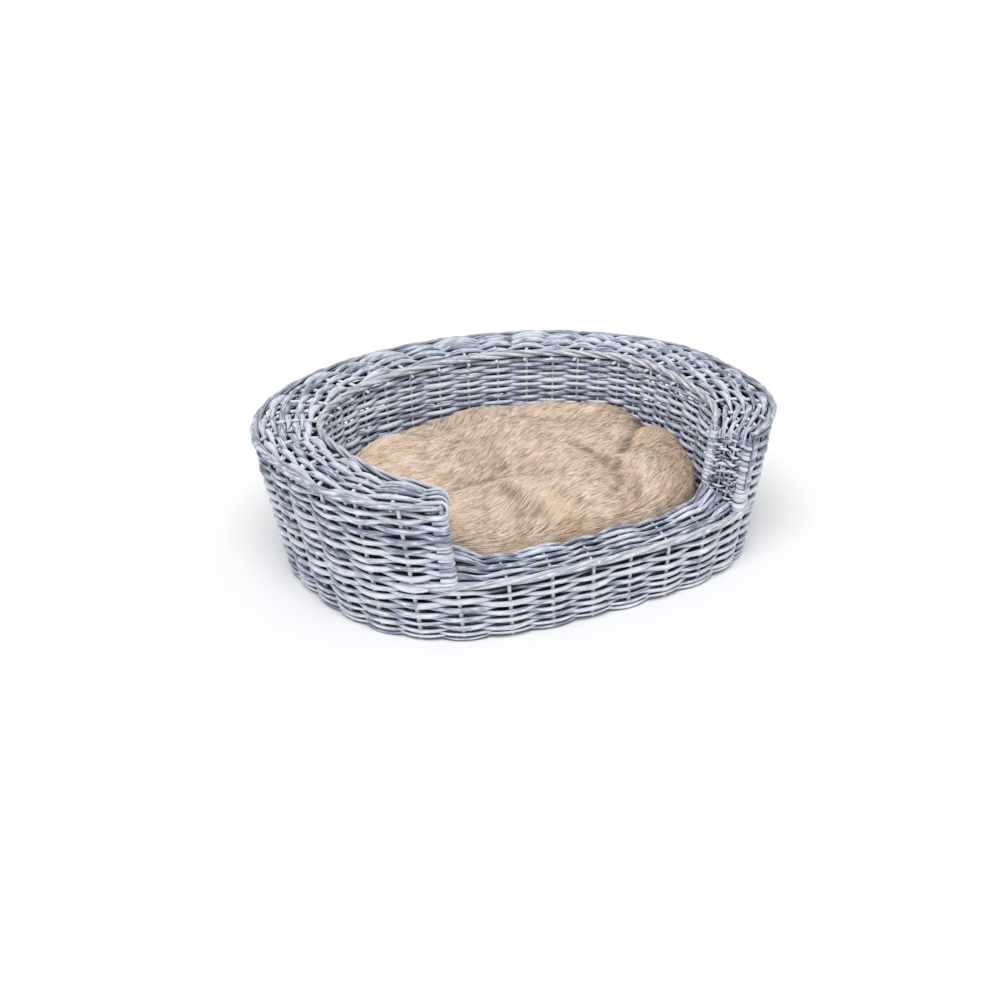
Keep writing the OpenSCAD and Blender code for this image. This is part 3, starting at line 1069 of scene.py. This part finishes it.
@dataclass
class Sill:
    """The low woven step at the front entry."""

    outline: Outline
    looks: Looks
    rows: int = 9
    edge_w: float = 0.009
    low: float = 0.0675
    high: float = 0.0805
    rise: float = 0.010

    def place(self, u: Array, v: Array) -> Array:
        """Middle of the sill's weave: v goes from the outer edge up to the well."""
        o = self.outline
        s = u / o.sill_gaps
        end = (1 - smooth(0, 0.75, u)) + (1 - smooth(0, 0.75, o.sill_gaps - u))
        a = o.outer(self.low, self.edge_w, o.sill_angle(s, o.arm_outer))
        b = o.inner(self.high, 0.0025, o.sill_angle(s, o.arm_inner))
        p = mix(a, b, v[:, None])
        p[:, 2] += 0.0022 * np.sin(np.pi * v) + self.rise * end * mix(0.35, 1.0, v)
        return p

    def make(self) -> None:
        """Build the sill's weave, ribs, outer edge and the wall below it in the well."""
        o = self.outline
        bundle = RodBundle("sill_top_rods", 91)
        WeavePanel(
            self.place, 0.06, o.sill_gaps - 0.06, self.rows, 0.0027, 1.0, 92,
            ends=EndStyle.TUCK, uneven=0.20, wander=0.12, stray=0.26, fill=1.02, tail=0.010,
        ).weave(bundle)
        bundle.lay("sill_top_weave", "rim_willow", self.looks)
        ribs = RodBundle("sill_rib_rods", 93)
        rng = np.random.default_rng(94)
        for i in range(1, o.sill_gaps):
            p = self.place(np.full(7, float(i)), np.linspace(-0.08, 1.02, 7)) - [0.0, 0.0, 0.0008]
            straight(ribs, p, 0.0016, [0.0, 0.0, 1.0], rng.random(), crest=0.75)
        ribs.lay("sill_ribs", "stake_willow", self.looks)
        edge = RodBundle("sill_outer_wale_rods", 95)
        first = o.outer_gaps
        middle = first + o.sill_gaps / 2

        def line(u: Array) -> Array:
            """Middle of the outer edge, which moves in a little beyond the sill's ends."""
            beyond = smooth(0.2, 1.0, np.abs(u - middle) - o.sill_gaps / 2)
            return o.outer(0.0668, 0.0040 + 0.0022 * beyond, o.outer_ring(u))

        reach = 1.3
        last = first + o.sill_gaps
        Wale(line, first - reach, last + reach, 0.0024, 0.0024, 0.0026, 96).twist(edge)
        edge.lay("sill_outer_wale", "edge_willow", self.looks)
        wall = RodBundle("sill_inner_wall_rods", 97)
        WeavePanel(
            lambda u, v: o.inner(mix(FLOOR_TOP, 0.079, v), 0.006, o.sill_angle(u / o.sill_gaps, o.arm_inner)),
            0.12, o.sill_gaps - 0.12, 14, 0.0035, -1.0, 98, ends=EndStyle.TUCK, per_gap=7, tail=0.004,
        ).weave(wall)
        wall.lay("sill_inner_wall_weave", "well_willow", self.looks)


@dataclass
class Floor:
    """The basket's oval base: loops of rod woven over and under crossed sticks."""

    outline: Outline
    looks: Looks
    level: float = 0.0068
    loops: int = 27
    swing: float = 0.0029
    radius: float = 0.0017
    stick_radius: float = 0.0019
    segments: int = 320
    margin: float = 0.0150
    cross: tuple[float, ...] = (-0.8, -0.6, -0.4, -0.2, 0.0, 0.2, 0.4, 0.6, 0.8)
    long: tuple[float, ...] = (-0.6, -0.3, 0.0, 0.3, 0.6)

    def make(self) -> None:
        """Build the loops and both sets of sticks."""
        o = self.outline
        count, keep = self.segments, slice(None, None, 2)
        t = np.arange(count) * 360 / count
        rim = o.outer(self.level, self.margin, t)
        half, back, front = rim[:, 0].max(), rim[:, 1].max(), -rim[:, 1].min()
        cross_x = [f * half for f in self.cross]
        long_y = [f * (back if f > 0 else front) for f in self.long]
        rng = np.random.default_rng(101)
        bundle = RodBundle("base_floor_rods", 102)
        for k in range(self.loops):
            ring = rim.copy()
            ring[:, :2] *= (k + 0.6) / self.loops
            crossings = []
            nxt = np.roll(ring, -1, axis=0)
            for axis, places in ((0, cross_x), (1, long_y)):
                for c in places:
                    a, b = ring[:, axis] - c, nxt[:, axis] - c
                    for i in np.nonzero((a <= 0) != (b <= 0))[0]:
                        crossings.append(i + a[i] / (a[i] - b[i]))
            at = np.sort(np.array(crossings))
            if len(at) < 4:
                continue
            ends = np.r_[at[-1] - count, at, at[0] + count]
            phase = np.interp(np.arange(count), ends, np.arange(-1, len(at) + 1))
            lift = np.cos(np.pi * (phase + k))
            ring[:, 2] += lift * self.swing
            size = self.radius * (1 + 0.1 * rng.uniform(-1, 1))
            shown = ring[keep]
            n = len(shown)
            up = np.tile([0.0, 0.0, 1.0], (n, 1))
            # Lower where the loop dips under a stick, which darkens it there as painted shade.
            crest = (0.5 + 0.25 * (1 + lift))[keep]
            bundle.add(Rod(shown, np.full(n, size), up, np.full(n, rng.random()), crest, True))
        bundle.lay("base_floor_weave", "floor_willow", self.looks)

        sticks = RodBundle("base_long_stick_rods", 103)
        for c in long_y:
            power = o.front_power if c < 0 else 2.0
            f = abs(c) / (back if c > 0 else front)
            reach = half * (1 - f**power) ** (1 / power)
            self._stick(sticks, [[x, c, self.level] for x in (-reach, 0, reach)], rng)
        sticks.lay("base_long_sticks", "stake_willow", self.looks)
        sticks = RodBundle("base_cross_stick_rods", 103)
        for c in cross_x:
            f = abs(c) / half
            low, high = -front * (1 - f**3) ** (1 / 3), back * math.sqrt(1 - f * f)
            self._stick(sticks, [[c, y, self.level] for y in (low, 0, high)], rng)
        sticks.lay("base_cross_sticks", "stake_willow", self.looks)

    def _stick(self, sticks: RodBundle, points: Sequence[Sequence[float]], rng: np.random.Generator) -> None:
        """Add a stick through the given points."""
        straight(sticks, points, self.stick_radius, [0.0, 0.0, 1.0], rng.random())


@dataclass
class Cushion:
    """The pile cushion: a stuffed cover under long combed hair, its filling and its underside."""

    outline: Outline
    looks: Looks
    bottom: float = 0.0145
    top: float = 0.1085
    back_edge: float = 0.1045
    front_edge: float = 0.0860
    gap: float = 0.002
    shoulder: float = 0.010
    voxel: float = 0.005
    cap: float = 0.010
    strands: int = 62000
    locks: int = 9000
    length: float = 0.048
    lay: float = 0.50
    seed: int = 201
    cover_thick: float = 0.014
    pressure: float = 4.0
    frames: int = 20
    cloth_level: float = 0.0123
    cloth_inset: float = 0.0045
    cloth_thick: float = 0.0019
    CREASES: ClassVar[tuple[tuple[tuple[float, float], ...], ...]] = (
        ((0.183, -0.005), (0.124, -0.062), (0.065, -0.125)),
        ((0.066, -0.046), (0.066, -0.099), (0.065, -0.125)),
        ((-0.112, -0.084), (-0.053, -0.079), (-0.023, -0.037)),
        ((-0.065, -0.121), (-0.029, -0.167)),
    )
    SLOPE: ClassVar[tuple[tuple[float, float], ...]] = ((2.4, 0.42), (4.2, 0.72), (6.2, 0.92), (8.4, 1.0))

    def form(self, name: str, inset: float, drop: float) -> bpy.types.Object:
        """Closed cushion form that follows the well: flat below, rounded above.

        Args:
            name: Name of the object.
            inset: How far its side is moved in.
            drop: How far its top is lowered.

        Returns:
            The object at the origin.
        """
        segments = 96
        t = np.arange(segments) * 360 / segments
        front = smooth(0.35, 0.95, -np.sin(np.radians(t)))
        edge = mix(self.back_edge, self.front_edge, front) - drop
        rings = [
            (inset + self.shoulder * (1 - math.cos(a)), mix(self.bottom, edge, math.sin(a)))
            for a in np.radians(np.arange(0, 91, 10))
        ]
        rings += [(inset + self.shoulder * out, mix(edge, self.top - drop, up)) for out, up in self.SLOPE]
        bm = bmesh.new()
        turn = bm.verts.layers.int.new("turn")
        circle = bmesh.ops.create_circle(bm, cap_ends=True, segments=segments, radius=1.0)["verts"]
        for i, vert in enumerate(circle):
            vert[turn] = i
        verts = circle
        for level, (move, z) in enumerate(rings):
            if level:
                last = set(verts)
                face = next(f for f in bm.faces if len(f.verts) == segments and last.issuperset(f.verts))
                grown = bmesh.ops.extrude_face_region(bm, geom=[face])["geom"]
                verts = [g for g in grown if isinstance(g, bmesh.types.BMVert)]
            ring = self.outline.inner(z, -self.gap - move, t)
            for vert in verts:
                vert.co = ring[vert[turn]]
        bmesh.ops.recalc_face_normals(bm, faces=bm.faces)
        return self._remeshed(finished(name, bm))

    def _remeshed(self, obj: bpy.types.Object) -> bpy.types.Object:
        """Give the form an even skin."""
        mod = obj.modifiers.new("even", "REMESH")
        mod.mode = "VOXEL"
        mod.voxel_size = self.voxel
        mesh = evaluated(obj)
        obj.modifiers.clear()
        obj.data = mesh
        for poly in mesh.polygons:
            poly.use_smooth = True
        return obj

    def stuff(self, obj: bpy.types.Object) -> None:
        """Blow the cover up against its own cloth, then keep each point near where it was."""
        start = points_of(obj.data).astype(float)
        cloth = obj.modifiers.new("stuffing", "CLOTH")
        sim = cloth.settings
        sim.quality = 4
        sim.mass = 0.25
        sim.use_pressure = True
        sim.uniform_pressure_force = self.pressure
        sim.effector_weights.gravity = 0.0
        cloth.point_cache.frame_start, cloth.point_cache.frame_end = 1, self.frames
        scene = bpy.context.scene
        for frame in range(1, self.frames + 1):
            scene.frame_set(frame)
        blown = obj.evaluated_get(bpy.context.evaluated_depsgraph_get()).to_mesh()
        end = np.empty(len(start) * 3, np.float32)
        blown.vertices.foreach_get("co", end)
        obj.modifiers.clear()
        scene.frame_set(1)
        move = end.reshape(-1, 3) - start
        far = np.linalg.norm(move, axis=1, keepdims=True)
        move *= np.minimum(1, self.cap / np.maximum(far, 1e-9))
        self._set(obj, start + move)

    def _set(self, obj: bpy.types.Object, p: Array) -> None:
        """Move the object's vertices, kept inside the well and above the floor."""
        ratio = np.maximum(self.outline.well_ratio(p, 0.003), 1.0)
        p[:, :2] /= ratio[:, None]
        p[:, 2] = np.maximum(p[:, 2], self.bottom)
        obj.data.vertices.foreach_set("co", p.astype(np.float32).ravel())
        obj.data.update()

    def _crease(self, p: Array, width: float) -> Array:
        """How deep in a crease each point lies, from 0 to 1."""
        deep = np.zeros(len(p))
        for line in self.CREASES:
            for a, b in zip(line, line[1:]):
                start, run = np.array(a), np.subtract(b, a)
                share = np.clip((p[:, :2] - start) @ run / (run @ run), 0, 1)
                far = np.linalg.norm(p[:, :2] - start - share[:, None] * run, axis=1)
                deep = np.maximum(deep, np.exp(-((far / width) ** 2)))
        return deep

    def settle_folds(self, obj: bpy.types.Object) -> None:
        """Press the creases and soft puffs of a slept-on cushion into its top."""
        p = points_of(obj.data).astype(float)
        up = smooth(0.3, 0.9, np.array([v.normal.z for v in obj.data.vertices]))
        lift = -0.0070 * self._crease(p, 0.008) - 0.0035 * self._crease(p, 0.030)
        for i, q in enumerate(p):
            at = Vector((q[0] / 0.085, q[1] / 0.065, 3.1))
            fine = noise.noise(at * 2.6 + Vector((5.0, 1.0, 0.0)))
            lift[i] += 0.008 * noise.noise(at) + 0.0026 * fine
        p[:, 2] += lift * up
        self._set(obj, p)

    def _roots(self, skin: bpy.types.Object, rng: np.random.Generator) -> tuple[Array, Array]:
        """Scatter hair roots evenly over the cover, but not under it."""
        mesh = skin.data
        mesh.calc_loop_triangles()
        p = points_of(mesh).astype(float)
        n = np.array([v.normal[:] for v in mesh.vertices])
        tri = np.array([t.vertices[:] for t in mesh.loop_triangles])
        a, b, c = (p[tri[:, i]] for i in range(3))
        area = np.linalg.norm(np.cross(b - a, c - a), axis=1) / 2
        normal = unit(n[tri].mean(1))
        low = (a[:, 2] + b[:, 2] + c[:, 2]) / 3
        weight = area * (normal[:, 2] > -0.35) * mix(0.45, 1.0, smooth(0.04, 0.085, low))
        pick = rng.choice(len(tri), self.strands, p=weight / weight.sum())
        w = rng.random((self.strands, 2))
        flip = w.sum(1) > 1
        w[flip] = 1 - w[flip]
        root = a[pick] + (b - a)[pick] * w[:, :1] + (c - a)[pick] * w[:, 1:]
        return root, normal[pick]

    def _comb(self, p: Array, n: Array) -> Array:
        """Way the hair is combed at each root, along the cover: lengthwise on top, down the sides."""
        angle = np.empty(len(p))
        for i, q in enumerate(p):
            at = Vector((q[0] / 0.11, q[1] / 0.09, 0.7))
            fine = noise.noise(at * 3.1 + Vector((0.0, 7.0, 0.0)))
            angle[i] = self.lay + 0.60 * noise.noise(at) + 0.06 * fine
        angle -= 0.9 * smooth(0.07, 0.18, -p[:, 0])
        flow = np.stack([np.cos(angle), np.sin(angle), np.zeros(len(p))], -1)
        fall = unit(n * [1, 1, 0]) * 0.25 + [0, 0, -1.0]
        entry = smooth(0.03, 0.10, -p[:, 1]) * smooth(0.055, 0.075, p[:, 2])
        steep = smooth(0.2, 0.8, 1 - n[:, 2]) * mix(0.7, 0.12, entry)
        flow = mix(flow, fall, steep[:, None])
        return unit(flow - n * (flow * n).sum(1)[:, None])

    def hair(self, skin: bpy.types.Object) -> bpy.types.Object:
        """Grow combed, clumped hair on the cover.

        Args:
            skin: The stuffed cover.

        Returns:
            The hair, with the attributes tone, along and smoke.
        """
        rng = np.random.default_rng(self.seed)
        root, normal = self._roots(skin, rng)
        comb = self._comb(root, normal)
        lead = rng.choice(len(root), self.locks, replace=False)
        tree = kdtree.KDTree(self.locks)
        for i, j in enumerate(lead):
            tree.insert(root[j], i)
        tree.balance()
        lock = np.array([tree.find(q)[1] for q in root])
        length = self.length * rng.uniform(0.85, 1.15, self.locks)[lock]
        length *= rng.uniform(0.75, 1.15, len(root))
        length *= mix(1.0, 0.8, smooth(0.08, 0.4, 1 - normal[:, 2]))
        sway = rng.normal(0, 0.07, self.locks)[lock] + rng.normal(0, 0.06, len(root))
        side = np.cross(normal, comb)
        way = unit(comb * np.cos(sway)[:, None] + side * np.sin(sway)[:, None])
        bm = bmesh.new()
        bm.from_mesh(skin.data)
        ground = BVHTree.FromBMesh(bm)
        bm.free()
        centre = root[lead][lock]
        gather = rng.uniform(0.0, 0.22, self.locks)[lock]
        rise = rng.uniform(0.8, 1.15, self.locks)[lock]
        marks = ((0.28, 0.0019, 0.25), (0.62, 0.0027, 0.7), (1.0, 0.0018, 1.0))
        stages = [root - normal * 0.0008]
        for share, height, pull in marks:
            p = root + way * (length * share)[:, None]
            p = mix(p, centre + way * (length * share)[:, None], (gather * pull)[:, None])
            lifted = np.empty_like(p)
            for i, q in enumerate(p):
                hit, up, _, _ = ground.find_nearest(q)
                loose = 0.0016 * rng.random() if share == 1.0 else 0.0
                lifted[i] = hit + up * (height * rise[i] + loose)
            ratio = np.maximum(self.outline.well_ratio(lifted, 0.0012), 1.0)
            lifted[:, 2] += np.linalg.norm(lifted[:, :2], axis=1) * (1 - 1 / ratio) * 0.8
            lifted[:, :2] /= ratio[:, None]
            lifted[:, 2] = np.maximum(lifted[:, 2], self.bottom + 0.0005)
            stages.append(lifted)
        paths = np.stack(stages, 1)
        size = rng.uniform(0.00024, 0.00042, len(root))
        return self._skinned(paths, size, rng, lock)

    def _skinned(self, paths: Array, size: Array, rng: np.random.Generator, lock: Array) -> bpy.types.Object:
        """Give each hair a slim four-sided body, pointed at both ends."""
        sides, points = 4, paths.shape[1]
        profile = np.array([0.0, 1.0, 0.85, 0.0])
        mesh = tubes("cushion_hair", ((path, profile * r, False) for path, r in zip(paths, size)), sides)
        root = paths[:, 0]
        ahead = root[:, 0] * math.cos(self.lay) + root[:, 1] * math.sin(self.lay)
        aside = root[:, 1] * math.cos(self.lay) - root[:, 0] * math.sin(self.lay)
        drift, band = (
            np.array([noise.noise(Vector((a / long, b / wide, at))) for a, b in zip(ahead, aside)])
            for long, wide, at in ((0.06, 0.018, 9.0), (0.05, 0.010, 4.0))
        )
        tone = 0.54 + 0.60 * band + rng.normal(0, 0.10, self.locks)[lock]
        tone += rng.normal(0, 0.22, len(size))
        # Hairs turn less cream towards the right end: painted shadow of the arm.
        tone = np.clip(tone - 0.75 * smooth(0.08, 0.18, root[:, 0]), 0, 1)
        # More dark tips in the creases, as painted shade, and towards the right end, as the arm's painted
        # shadow; the drift streaks are the pile's own.
        chance = 0.05 + 0.26 * self._crease(root, 0.007) + 0.16 * smooth(0.1, 0.5, drift)
        chance += 0.26 * smooth(0.09, 0.18, root[:, 0])
        dark_tip_and_shade = (rng.random(len(size)) < chance) * rng.uniform(0.4, 1.0, len(size))
        along = np.tile(np.repeat([0.0, 0.33, 0.66, 1.0], sides), len(size))
        each = points * sides
        dark_tip_and_shade = np.repeat(np.clip(dark_tip_and_shade, 0, 1), each)
        give(mesh, {"tone": np.repeat(tone, each), "dark_tip_and_shade": dark_tip_and_shade, "along": along}, 1e-8)
        return adopt("cushion_hair", mesh)

    def make(self) -> None:
        """Build the cushion's three pieces."""
        cover = self.form("cushion_pile_cover", 0.0, 0.0)
        self.stuff(cover)
        self.settle_folds(cover)
        hair = self.hair(cover)
        LOG.info("hair: %d vertices", len(hair.data.vertices))
        cover.data.materials.append(self.looks["pile_backing"])
        hair.data.materials.append(self.looks["fur_pile"])
        both = [cover, hair]
        with bpy.context.temp_override(
            active_object=cover, object=cover, selected_objects=both, selected_editable_objects=both
        ):
            bpy.ops.object.join()
        settle(cover, "cushion", ["cushion_cover"], "fur_pile", self.looks["fur_pile"])
        filling = self.form("cushion_filling_pad", self.cover_thick, self.cover_thick)
        settle(filling, "cushion", ["cushion_filling"], "fibre_filling", self.looks["fibre_filling"])
        self.underside()

    def underside(self) -> None:
        """Cloth panel under the cushion, with a rolled and stitched edge."""
        segments = 96
        t = np.arange(segments) * 360 / segments
        bm = bmesh.new()
        circle = bmesh.ops.create_circle(bm, cap_ends=True, segments=segments, radius=1.0)["verts"]
        edge = self.outline.inner(self.cloth_level, -self.cloth_inset, t)
        for vert, at in zip(circle, edge):
            vert.co = at
        bmesh.ops.inset_region(bm, faces=bm.faces[:], thickness=0.004, depth=0.0)
        grown = bmesh.ops.extrude_face_region(bm, geom=bm.faces[:])["geom"]
        for vert in (g for g in grown if isinstance(g, bmesh.types.BMVert)):
            vert.co.z += self.cloth_thick
        bmesh.ops.recalc_face_normals(bm, faces=bm.faces)
        obj = finished("cushion_underside_cloth", bm)
        mesh = obj.data
        bevel = obj.modifiers.new("edge", "BEVEL")
        bevel.width = 0.0006
        bevel.segments = 2
        bevel.limit_method = "ANGLE"
        for poly in mesh.polygons:
            poly.use_smooth = True
        settle(obj, "cushion", ["cushion_underside"], "cushion_cloth", self.looks["cushion_cloth"])


@dataclass
class Studio:
    """Pale floor, one broad soft light, an even glow and the camera."""

    azimuth: float = -30.2
    elevation: float = 24.2
    distance: float = 2.387
    focal: float = 2.0677  # in image widths
    sensor: float = 36.0
    aim: tuple[float, float, float] = (-0.0112, -0.0076, 0.0510)
    glow: float = 0.60
    floor_half: float = 40.0
    key_at: tuple[float, float, float] = (-0.9, -1.2, 2.4)
    key_spread: float = 42.0
    key_strength: float = 1.75

    def camera(self) -> None:
        """Aim the camera."""
        data = bpy.data.cameras.new("camera")
        data.sensor_width = self.sensor
        data.lens = self.focal * self.sensor
        data.clip_end = 50.0
        cam = adopt("camera", data)
        a, e = math.radians(self.azimuth), math.radians(self.elevation)
        back = Vector((math.sin(a) * math.cos(e), -math.cos(a) * math.cos(e), math.sin(e)))
        cam.location = Vector(self.aim) + back * self.distance
        cam.rotation_euler = (-back).to_track_quat("-Z", "Y").to_euler()
        bpy.context.scene.camera = cam

    def sun(self, name: str, at: tuple[float, float, float], spread: float, strength: float) -> None:
        """Light the whole floor evenly from one side, as a very large soft box does."""
        data = bpy.data.lights.new(name, "SUN")
        data.angle = math.radians(spread)
        data.energy = strength
        lamp = adopt(name, data)
        lamp.location = at
        lamp.rotation_euler = (-Vector(at)).to_track_quat("-Z", "Y").to_euler()

    def make(self) -> None:
        """Build the studio."""
        self.camera()
        bm = bmesh.new()
        bmesh.ops.create_grid(bm, x_segments=2, y_segments=2, size=self.floor_half)
        floor = finished("studio_floor", bm)
        mat = bpy.data.materials.new("Matt white paper")
        mat.use_nodes = True
        shader = mat.node_tree.nodes["Principled BSDF"]
        shader.inputs["Base Color"].default_value = linear("#fdfdfd")
        shader.inputs["Roughness"].default_value = 1.0
        shader.inputs["Specular IOR Level"].default_value = 0.0
        floor.data.materials.append(mat)
        world = bpy.data.worlds.new("studio")
        world.use_nodes = True
        back = world.node_tree.nodes["Background"]
        back.inputs["Color"].default_value = linear("#ffffff")
        back.inputs["Strength"].default_value = self.glow
        bpy.context.scene.world = world
        self.sun("key_light", self.key_at, self.key_spread, self.key_strength)
        bpy.context.scene.view_settings.view_transform = "Standard"


def main() -> None:
    """Build the scene."""
    logging.basicConfig(level=logging.INFO, format="%(name)s: %(message)s")
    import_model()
    outline = Outline()
    finishes = {
        "wall_willow": WillowFinish("Grey-washed willow, wall"),
        "well_willow": WillowFinish(
            "Grey-washed willow, well", hollow="#2c3549", stain="#8793b0", wash="#d6e0f4",
            tint="#c3c3c6", chalked=0.75, tinted=0.15,
        ),
        "rim_willow": WillowFinish("Grey-washed willow, rim", stain="#757e94", wash="#d2daea"),
        # Paler than the wall's willow: partly the white the brush leaves on the stakes, partly painted light
        # that lifts them out of the shade between the rows.
        "stake_willow": WillowFinish(
            "Grey-washed willow, stakes", stain="#b2b9c6", wash="#e4e8f0", chalked=1.0
        ),
        "edge_willow": WillowFinish(
            "Grey-washed willow, edges", stain="#868e9f", wash="#bfc6d4", tint="#d2cac2",
            chalked=0.6, tinted=0.35,
        ),
        "floor_willow": WillowFinish(
            "Grey-washed willow, floor", stain="#6b7384", wash="#98a0b0", chalked=0.2
        ),
        "fur_pile": PileFinish(),
        "pile_backing": WovenFinish("Knitted backing cloth of the pile", "#d6bda6", "#cbb199", 1.2),
        "fibre_filling": WovenFinish("Polyester fibre filling, carded", "#f2efe8", "#e4e0d6", 3.0),
        "cushion_cloth": WovenFinish("Cotton canvas, tan", "#b79b7d", "#a58a6d", 1.6),
    }
    looks = {slot: finish.make() for slot, finish in finishes.items()}
    Studio().make()
    Cushion(outline, looks).make()
    walls = Walls(outline, looks)
    walls.make()
    Rim(outline, looks, walls).make()
    Sill(outline, looks).make()
    Floor(outline, looks).make()


if __name__ == "__main__":
    main()
